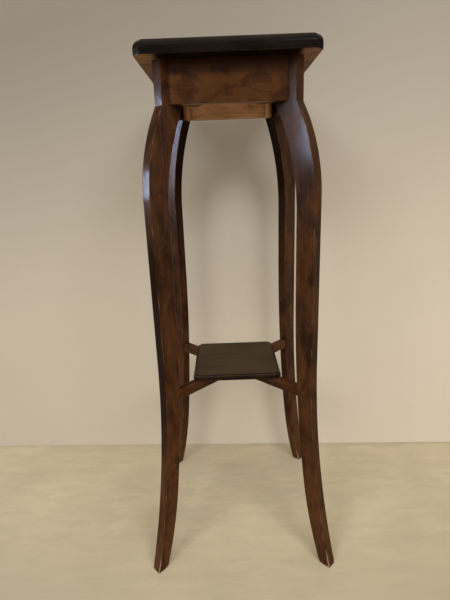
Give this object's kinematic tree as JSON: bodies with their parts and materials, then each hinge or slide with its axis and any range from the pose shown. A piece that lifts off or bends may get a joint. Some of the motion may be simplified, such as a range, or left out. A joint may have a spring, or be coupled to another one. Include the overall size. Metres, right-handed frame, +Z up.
{
  "type": "plant stand",
  "caption": "Tall narrow plant stand with a small square top, S-curved legs set on the diagonals, deep aprons and a small square shelf on crossed rails",
  "frame": {"origin": "on the floor, under the middle of the top", "axes": "+Z up, front of the stand towards -Y, +X to the viewer's right; an apron faces -Y and the legs stand on the diagonals"},
  "size_m": [0.3692, 0.3692, 0.96],
  "materials": {
    "top_polish": "dark brown polish, semi-gloss, worn thin along the rounded edge",
    "leg_polish": "dark reddish-brown polish over straight grain, semi-gloss, pale at the worn corners",
    "apron_polish": "mid-brown polish over mottled, knotty figure, semi-gloss",
    "shelf_polish": "dark grey-brown polish, satin, worn on the edges",
    "bare_wood": "unpolished wood, darkened with age",
    "dowel_wood": "unpolished pale dowel wood",
    "screw_steel": "plain steel, dulled with age"
  },
  "bodies": {
    "root": {"top_board": "top_polish", "leg_front_left": "leg_polish", "leg_front_right": "leg_polish", "leg_back_right": "leg_polish", "leg_back_left": "leg_polish", "apron_front": "apron_polish", "apron_right": "apron_polish", "apron_back": "apron_polish", "apron_left": "apron_polish", "corner_block_front_left": "bare_wood", "corner_block_front_right": "bare_wood", "corner_block_back_right": "bare_wood", "corner_block_back_left": "bare_wood", "shelf": "shelf_polish", "rail_from_front_left": "leg_polish", "rail_from_front_right": "leg_polish", "apron_dowels": "dowel_wood", "rail_dowels": "dowel_wood", "top_screws": "screw_steel", "shelf_screws": "screw_steel"}
  },
  "joints": []
}
